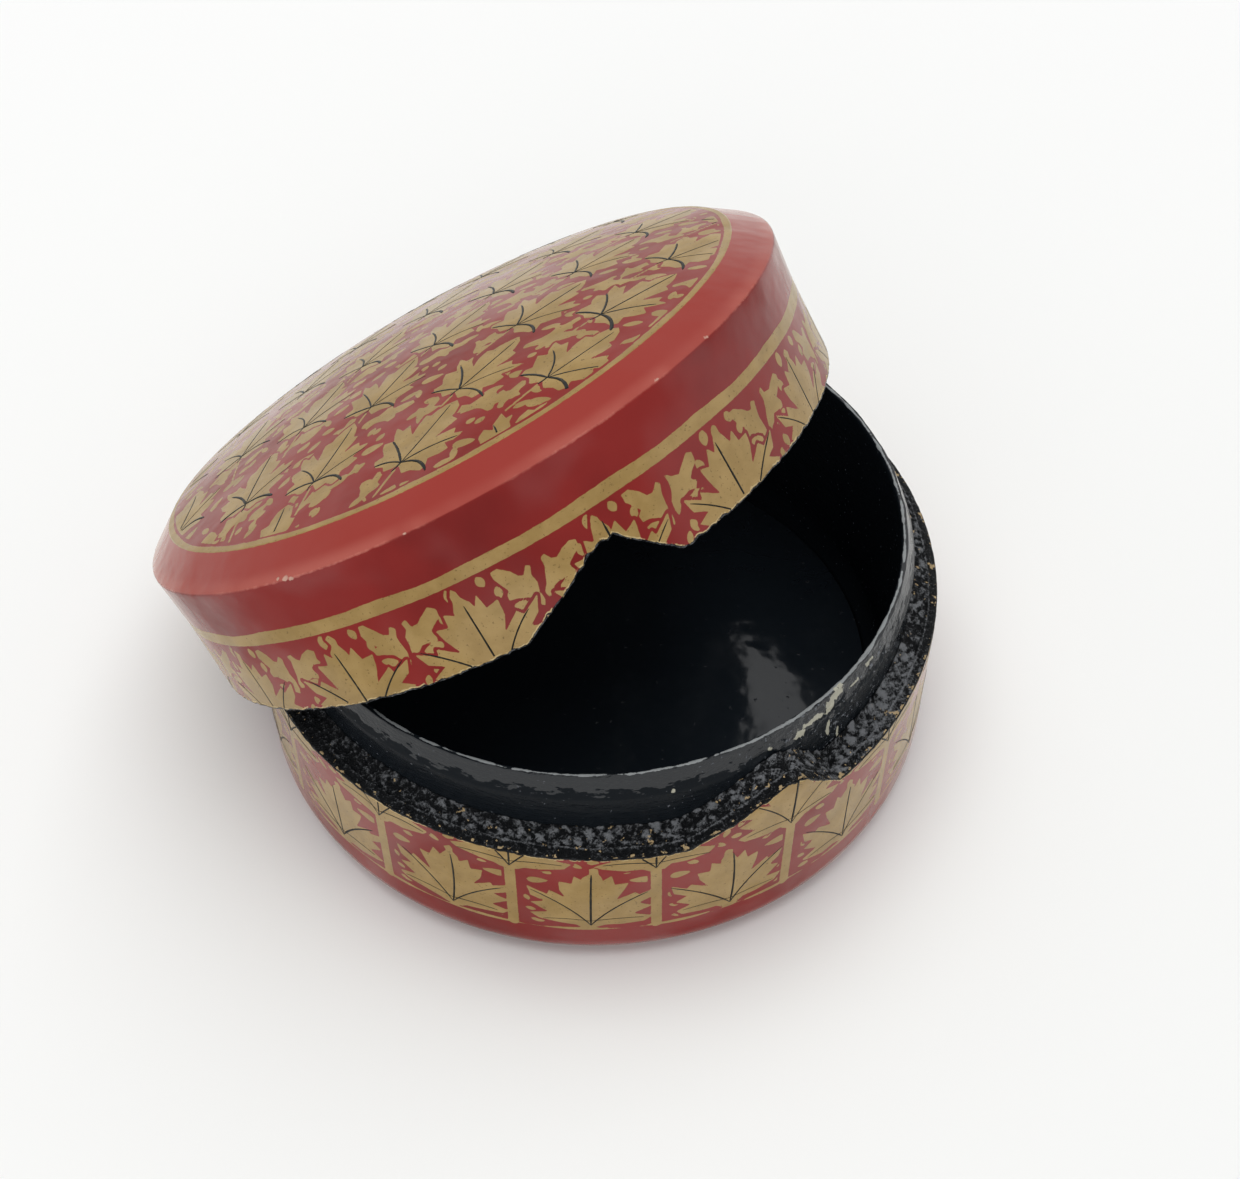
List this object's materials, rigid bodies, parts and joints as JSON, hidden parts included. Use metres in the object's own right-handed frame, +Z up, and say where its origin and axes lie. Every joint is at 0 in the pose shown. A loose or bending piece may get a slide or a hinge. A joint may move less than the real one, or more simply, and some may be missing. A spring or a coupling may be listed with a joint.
{
  "type": "round papier-mache box with a lift-off lid",
  "caption": "Round lacquered paper box: sawn lower shell with an inner collar, and a domed lift-off lid whose wavy cut edge matches the box.",
  "frame": {"origin": "centre of the flat foot of the box, on the surface that it stands on", "axes": "+Z up along the axis of the lower shell; -Y is towards the viewer of the picture; the lid leans off towards -X and +Y"},
  "size_m": [0.115, 0.1129, 0.076],
  "materials": {
    "painted_shell": "moulded paper pulp, painted red with gold leaves under a glossy varnish, black lacquer inside",
    "black_lacquer": "wound paper ring under glossy black lacquer, rubbed at its edges"
  },
  "bodies": {
    "box": {"base_shell": "painted_shell", "inner_collar": "black_lacquer"},
    "lid": {"lid_shell": "painted_shell"}
  },
  "joints": [
    {"name": "lid_lift", "type": "slide", "parent": "box", "child": "lid", "axis": [0, 0, 1], "range_m": [0, 0.06]}
  ]
}
